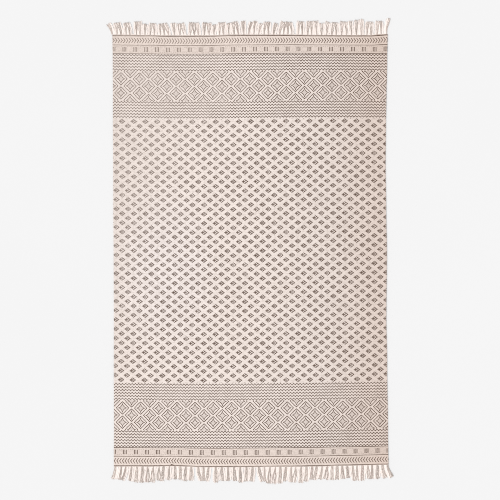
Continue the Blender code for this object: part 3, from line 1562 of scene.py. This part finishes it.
class Strands:
    """Strands that are drawn as bevelled curves and turned into one mesh."""

    bevel_resolution = 1
    sides = 6

    def __init__(self) -> None:
        """Start with no strands."""
        self.routes: list[Route] = []

    def mesh(self, name: str) -> bpy.types.Object:
        """Return one mesh of all the strands, with their map and tones.

        Args:
            name: The name of the piece.

        Returns:
            The piece.
        """
        curve = bpy.data.curves.new(name, "CURVE")
        curve.dimensions = "3D"
        curve.bevel_depth = 1.0
        curve.bevel_resolution = self.bevel_resolution
        for route in self.routes:
            spline = curve.splines.new("POLY")
            spline.points.add(len(route.points) - 1)
            for point, place, radius in zip(spline.points, route.points, route.radii):
                point.co = (*place, 1.0)
                point.radius = radius
        piece = bpy.data.objects.new(name, curve)
        bpy.context.scene.collection.objects.link(piece)
        pick(piece)
        bpy.ops.object.convert(target="MESH")
        piece = bpy.context.object
        bpy.ops.object.mode_set(mode="EDIT")
        bpy.ops.mesh.select_all(action="SELECT")
        bpy.ops.mesh.fill_holes(sides=0)
        bpy.ops.object.mode_set(mode="OBJECT")
        self.give_map(piece.data)
        bpy.ops.object.shade_smooth_by_angle(angle=math.radians(60.0))
        return piece

    def give_map(self, mesh: bpy.types.Mesh) -> None:
        """Give the mesh its map, around and along each strand, and its tones.

        Args:
            mesh: The mesh of all the strands.
        """
        around, along, tones = [], [], []
        for route in self.routes:
            length = 0.0
            for number, place in enumerate(route.points):
                if number:
                    length += math.dist(place, route.points[number - 1])
                around.extend(side / self.sides for side in range(self.sides))
                along.extend([length] * self.sides)
                tones.extend([route.tone] * self.sides)
        if len(mesh.vertices) != len(tones):
            raise RuntimeError(f"{mesh.name}: {len(mesh.vertices)} points, {len(tones)} planned")
        attribute = mesh.attributes.new(YARN_TONE, "FLOAT", "POINT")
        attribute.data.foreach_set("value", tones)
        for layer in list(mesh.uv_layers):
            mesh.uv_layers.remove(layer)
        layer = mesh.uv_layers.new(name=YARN_MAP)
        for face in mesh.polygons:
            corners = [(loop, mesh.loops[loop].vertex_index) for loop in face.loop_indices]
            wraps = max(around[v] for _, v in corners) - min(around[v] for _, v in corners) > 0.5
            for loop, vertex in corners:
                turn = around[vertex]
                if wraps and turn < 0.5:
                    turn += 1.0
                layer.data[loop].uv = (turn, along[vertex])


class ShapeRow(NamedTuple):
    """A lock's width and height at a share of its length."""

    share: float
    width: float
    height: float


HEAD_SHAPE = (
    ShapeRow(0.00, 0.0056, 0.0034),
    ShapeRow(0.22, 0.0068, 0.0036),
    ShapeRow(0.50, 0.0092, 0.0038),
    ShapeRow(0.80, 0.0122, 0.0034),
    ShapeRow(1.00, 0.0138, 0.0028),
)
FOOT_SHAPE = (
    ShapeRow(0.00, 0.0080, 0.0034),
    ShapeRow(0.30, 0.0100, 0.0036),
    ShapeRow(0.70, 0.0112, 0.0036),
    ShapeRow(1.00, 0.0128, 0.0028),
)


@dataclass
class Fringe:
    """One end's fringe: locks of loose yarns out of a twined cord beside the hem."""

    end: End
    locks: list[Lock]
    finish: bpy.types.Material
    shape: Sequence[ShapeRow] = HEAD_SHAPE
    strip_gap: float = 0.0003
    strip_width: float = 0.004
    root_share: float = 0.35
    straight_lean: float = 0.34
    look_ahead: float = 0.05
    core_yarns: tuple[int, int] = (6, 9)
    core_width: tuple[float, float] = (0.90, 1.35)
    core_stop: tuple[float, float] = (0.94, 1.0)
    tone_spread: float = 0.12
    fork_chance: float = 0.12
    fork_width: float = 0.0055
    fork_slim: float = 0.6
    fork_from: float = 0.6
    fray_from: float = 0.55
    core_height: float = 1.9
    pale_yarns: int = 10
    pale_root: float = 0.0105
    pale_spread: float = 0.0122
    outer_pale: float = 0.3
    pale_stop: tuple[float, float] = (0.88, 1.0)
    pale_sway: float = 0.0008
    pale_sway_turn: float = 5.0
    pale_spread_by: float = 0.35
    pale_rise: float = 0.0006
    pale_radius: float = 0.0014
    yarn_radius: float = 0.0012
    yarn_rings: int = 10
    lock_turns: float = 0.5
    turn_spread: tuple[float, float] = (0.5, 1.3)
    fan_jitter: tuple[float, float] = (0.35, 0.65)
    fray: float = 0.0024
    wisps: int = 8
    wisp_radius: float = 0.00034
    wisp_start: tuple[float, float] = (0.50, 0.90)
    wisp_reach: tuple[float, float] = (0.08, 0.17)
    wisp_stray: float = 0.005
    wisp_beside: float = 0.011
    wisp_rise: tuple[float, float] = (0.0006, 0.0030)
    wisp_steps: int = 3
    wisp_thinning: float = 0.25
    cord_radius: float = 0.00105
    cord_pitch: float = 0.0085
    cord_steps: int = 8
    cord_height: float = 0.0016
    seed: int = 5
    chance: random.Random = field(init=False)
    strands: Strands = field(init=False)

    def __post_init__(self) -> None:
        """Start with a seeded source of chance and with no strands."""
        self.chance = random.Random(self.seed)
        self.strands = Strands()

    def build(self) -> bpy.types.Object:
        """Return the dressed fringe."""
        self.twine_cord()
        for number, lock in enumerate(self.locks):
            left = -1.0 if number > 0 else -self.outer_pale
            right = 1.0 if number < len(self.locks) - 1 else self.outer_pale
            self.draw_lock(lock, left, right)
        piece = self.strands.mesh(f"yarn_fringe_{self.end.value}")
        dress(piece, self.finish)
        return piece

    def middle(self, lock: Lock, share: float) -> tuple[float, float]:
        """Return the middle of a lock in the plan, at a share of its length.

        Args:
            lock: The lock.
            share: How far along, from 0 to 1.

        Returns:
            The places across and along.
        """
        strip = self.strip_gap + self.strip_width
        start = hem_at(self.end, lock.root) + self.end.way * strip * self.root_share
        length = lock.reach - strip * self.root_share
        bend = mix(share * share, share, self.straight_lean)
        x = mix(lock.root, lock.tip, bend) + lock.sway * math.sin(2.0 * math.pi * share)
        return x, start + self.end.way * length * share

    def frame_at(self, lock: Lock, share: float) -> tuple[tuple[float, float], tuple[float, float]]:
        """Return a lock's middle and the direction to its right, at a share of its length.

        Args:
            lock: The lock.
            share: How far along, from 0 to 1.

        Returns:
            The middle and the direction, in the plan.
        """
        x, y = self.middle(lock, share)
        after_x, after_y = self.middle(lock, share + self.look_ahead)
        span = math.hypot(after_x - x, after_y - y) * self.end.way
        return (x, y), ((after_y - y) / span, -(after_x - x) / span)

    def draw_lock(self, lock: Lock, left: float, right: float) -> None:
        """Add one lock: its wound yarns, paler ones fanned beside them, and wisps.

        Args:
            lock: The lock's plan.
            left: How far to the left its paler yarns fan, as a share from -1.
            right: How far to the right they fan, as a share up to 1.
        """
        count = self.chance.randint(*self.core_yarns)
        width = self.chance.uniform(*self.core_width)
        start = self.chance.uniform(0.0, 2.0 * math.pi)
        turns = self.lock_turns * self.chance.uniform(*self.turn_spread) * self.chance.choice((-1.0, 1.0))
        # The wound yarns are taupe: partly their own tone, partly painted shade for the shadow within a lock
        tone = self.chance.uniform(self.tone_spread, DARK_TONE - self.tone_spread)
        fork = self.fork_width if self.chance.random() < self.fork_chance else 0.0
        for number in range(count):
            angle = start + 2.0 * math.pi * number / count
            own_fork = fork if number % 2 else -fork
            own_tone = tone + self.chance.uniform(-self.tone_spread, self.tone_spread)
            place = self.wound(angle, turns, width, own_fork)
            self.draw_yarn(lock, place, self.chance.uniform(*self.core_stop), self.yarn_radius, own_tone)
        for number in range(self.pale_yarns):
            side = mix(left, right, (number + self.chance.uniform(*self.fan_jitter)) / self.pale_yarns)
            stop = self.chance.uniform(*self.pale_stop)
            self.draw_yarn(lock, self.fanned(side), stop, self.pale_radius, PALE_TONE)
        for number in range(self.wisps):
            self.draw_wisp(lock, tone if number % 2 else PALE_TONE)

    def wound(
        self, angle: float, turns: float, width: float, fork: float,
    ) -> Callable[[float], tuple[float, float]]:
        """Return where a yarn lies that winds round its lock and frays at the tip.

        Args:
            angle: Where round the lock's middle the yarn starts.
            turns: How many turns it makes along the lock.
            width: The lock's width over its usual one.
            fork: How far the yarn's half of a forked lock has parted at the tip.

        Returns:
            A function that gives the yarn's place beside and above the lock's
            line at a share of its length.
        """
        splay = self.chance.uniform(-1.0, 1.0) * self.fray
        slim = self.fork_slim if fork else 1.0

        def place(share: float) -> tuple[float, float]:
            """Return the place beside and above the lock's line.

            Args:
                share: How far along, from 0 to 1.

            Returns:
                The two places, in metres.
            """
            here = angle + turns * 2.0 * math.pi * share
            full_width = read_table(self.shape, share, "width", even) * width
            half_width = full_width * slim / 2.0 - self.yarn_radius
            half_height = read_table(self.shape, share, "height", even) / 2.0 - self.yarn_radius
            loose = splay * ease(max(share - self.fray_from, 0.0) / (1.0 - self.fray_from))
            loose += fork * ease(min(share / self.fork_from, 1.0))
            above = self.yarn_radius * self.core_height + math.sin(here) * half_height
            return math.cos(here) * half_width + loose, above

        return place

    def fanned(self, side: float) -> Callable[[float], tuple[float, float]]:
        """Return where a yarn lies that leaves its lock and lies flat beside it.

        Args:
            side: How far to the side, from -1 to 1.

        Returns:
            A function that gives the yarn's place, as for a wound one.
        """
        swing = self.chance.uniform(-1.0, 1.0) * self.pale_sway
        turn = self.chance.uniform(0.0, 2.0 * math.pi)
        rise = self.chance.uniform(0.0, self.pale_rise)

        def place(share: float) -> tuple[float, float]:
            """Return the place beside and above the lock's line.

            Args:
                share: How far along, from 0 to 1.

            Returns:
                The two places, in metres.
            """
            spread = mix(self.pale_root, self.pale_spread, ease(min(share / self.pale_spread_by, 1.0)))
            sway = swing * math.sin(turn + self.pale_sway_turn * share)
            return side * spread + sway, self.pale_radius + rise

        return place

    def draw_yarn(
        self, lock: Lock, place: Callable[[float], tuple[float, float]],
        stop: float, thickness: float, tone: float,
    ) -> None:
        """Add one yarn of a lock.

        Args:
            lock: The lock whose line it follows.
            place: Its place beside and above that line, at a share of the length.
            stop: The share of the lock's length at which it ends.
            thickness: Its radius where it is full.
            tone: Its tone.
        """
        points, radii = [], []
        for ring in range(self.yarn_rings):
            share = ring / (self.yarn_rings - 1) * stop
            (x, y), (side_x, side_y) = self.frame_at(lock, share)
            beside, above = place(share)
            from_tip = min((stop - share) / TAPER, 1.0)
            radius = thickness * mix(TIP_THINNESS, 1.0, from_tip)
            x += side_x * beside
            y = self.clear_of_cloth(x, y + side_y * beside, radius)
            points.append((x + SHIFT_X, y + SHIFT_Y, max(above, radius)))
            radii.append(radius)
        self.strands.routes.append(Route(points, radii, tone))

    def clear_of_cloth(self, x: float, y: float, radius: float) -> float:
        """Return y, moved outwards where a yarn of that radius would run into the cloth.

        Args:
            x: The place across.
            y: The place along.
            radius: The radius of the yarn.

        Returns:
            The place along, clear of the cloth.
        """
        way = self.end.way
        nearest = hem_at(self.end, x) + way * (self.strip_gap + radius)
        return way * max(way * y, way * nearest)

    def draw_wisp(self, lock: Lock, tone: float) -> None:
        """Add one thin fibre that strays from a lock's outer half.

        Args:
            lock: The lock.
            tone: The tone of the yarn.
        """
        start = self.chance.uniform(*self.wisp_start)
        reach = self.chance.uniform(*self.wisp_reach)
        stray = self.chance.uniform(-1.0, 1.0) * self.wisp_stray
        beside = self.chance.uniform(-0.5, 0.5) * self.wisp_beside
        rise = self.chance.uniform(*self.wisp_rise)
        points, radii = [], []
        for step in range(self.wisp_steps + 1):
            share = start + reach * step / self.wisp_steps
            (x, y), (side_x, side_y) = self.frame_at(lock, share)
            off = beside + stray * (step / self.wisp_steps) ** 2
            points.append((x + SHIFT_X + side_x * off, y + SHIFT_Y + side_y * off, rise))
            radii.append(self.wisp_radius * (1.0 - self.wisp_thinning * step))
        self.strands.routes.append(Route(points, radii, tone))

    def twine_cord(self) -> None:
        """Add the two plies of the cord that twines along the hem."""
        side = SIDES[-1] if self.end is End.HEAD else SIDES[0]
        inset = self.cord_radius
        left, right = side.left + inset, side.right - inset
        steps = int((right - left) / self.cord_pitch * self.cord_steps)
        swing = self.strip_width / 2.0 - self.cord_radius
        for ply in (0.0, math.pi):
            points = []
            for step in range(steps + 1):
                x = mix(left, right, step / steps)
                turn = ply + 2.0 * math.pi * step / self.cord_steps
                off = self.strip_gap + self.strip_width / 2.0 + swing * math.cos(turn)
                y = hem_at(self.end, x) + self.end.way * off
                z = self.cord_height + (self.cord_height - self.cord_radius) * math.sin(turn)
                points.append((x + SHIFT_X, y + SHIFT_Y, z))
            self.strands.routes.append(Route(points, [self.cord_radius] * len(points), PALE_TONE))


@dataclass
class Studio:
    """The pale floor, the soft light and the camera straight above the rug."""

    floor_side: float = 14.0
    floor_drop: float = 0.0004
    camera_height: float = 5.0
    camera_sight: float = 60.0
    photo_width: float = 2.185
    sensor_width: float = 36.0
    middle_x: float = -0.00305
    middle_y: float = 0.00508
    sky_strength: float = 0.78
    lamp_strength: float = 1.514
    pixel_blur: float = 0.9
    lamp_angle: float = math.radians(50.0)
    lamp_tilt: tuple[float, float] = (math.radians(24.0), math.radians(-32.0))

    def build(self) -> None:
        """Set up the whole studio."""
        self.lay_floor()
        self.set_camera()
        self.light()

    def lay_floor(self) -> None:
        """Lay the floor just under the rug."""
        deselect_all()
        bpy.ops.mesh.primitive_plane_add(size=self.floor_side, location=(0.0, 0.0, -self.floor_drop))
        floor = bpy.context.object
        floor.name = "studio_floor"
        dress(floor, PaleFloor().material())

    def set_camera(self) -> None:
        """Look straight down, with the head end at the top of the picture."""
        data = bpy.data.cameras.new("camera")
        data.sensor_width = self.sensor_width
        data.lens = self.sensor_width * self.camera_height / self.photo_width
        data.clip_end = self.camera_sight
        camera = bpy.data.objects.new("camera", data)
        camera.location = (self.middle_x, self.middle_y, self.camera_height)
        bpy.context.scene.collection.objects.link(camera)
        bpy.context.scene.camera = camera

    def light(self) -> None:
        """Light the rug evenly, with one broad lamp high on the left."""
        scene = bpy.context.scene
        scene.view_settings.view_transform = "Standard"
        # The print is as fine as the picture's pixels, and denoising would smear it
        scene.cycles.use_denoising = False
        scene.cycles.filter_width = self.pixel_blur
        world = bpy.data.worlds.new("studio_sky")
        world.use_nodes = True
        sky = world.node_tree.nodes["Background"]
        sky.inputs["Color"].default_value = (1.0, 1.0, 1.0, 1.0)
        sky.inputs["Strength"].default_value = self.sky_strength
        scene.world = world
        data = bpy.data.lights.new("broad_lamp", "SUN")
        data.energy = self.lamp_strength
        data.angle = self.lamp_angle
        lamp = bpy.data.objects.new("broad_lamp", data)
        lamp.rotation_euler = (self.lamp_tilt[0], self.lamp_tilt[1], 0.0)
        scene.collection.objects.link(lamp)


def place_piece(piece: bpy.types.Object, node: str) -> None:
    """Set a finished piece on the rug's body in place of its plain solid.

    Args:
        piece: The piece.
        node: The plain solid that it replaces.
    """
    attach(piece, BODY)
    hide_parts(node)
    LOG.info("%s: %d faces, in place of %s", piece.name, len(piece.data.polygons), node)


def flat_size(columns: int = 200) -> tuple[float, float, float]:
    """Return the flat cloth's width, length and area, the area summed in columns.

    Args:
        columns: How many columns the area is summed in.

    Returns:
        The width, the length and the area, in metres.
    """
    low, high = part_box(CLOTH_NODE)
    left, right = ENDS[0].across, ENDS[-1].across
    area = 0.0
    for number in range(columns):
        x = mix(left, right, (number + 0.5) / columns)
        area += (hem_at(End.HEAD, x) - hem_at(End.FOOT, x)) * (right - left) / columns
    return high.x - low.x, high.y - low.y, area


def main() -> None:
    """Build the studio and the rug's pieces, in order."""
    logging.basicConfig(level=logging.INFO, format="%(name)s %(message)s")
    Studio().build()
    locks = LockPlanner().plan()
    yarn = FringeYarn().material()
    cloth = RugCloth().build()
    place_piece(cloth, CLOTH_NODE)
    head = Fringe(End.HEAD, locks[End.HEAD], yarn, seed=5).build()
    place_piece(head, HEAD_NODE)
    foot = Fringe(
        End.FOOT, locks[End.FOOT], yarn, FOOT_SHAPE,
        core_yarns=(8, 11), core_width=(0.95, 1.35), fork_chance=0.15,
        pale_yarns=11, pale_root=0.0118, pale_spread=0.0135, seed=6,
    ).build()
    place_piece(foot, FOOT_NODE)
    width, length, area = flat_size()


if __name__ == "__main__":
    main()
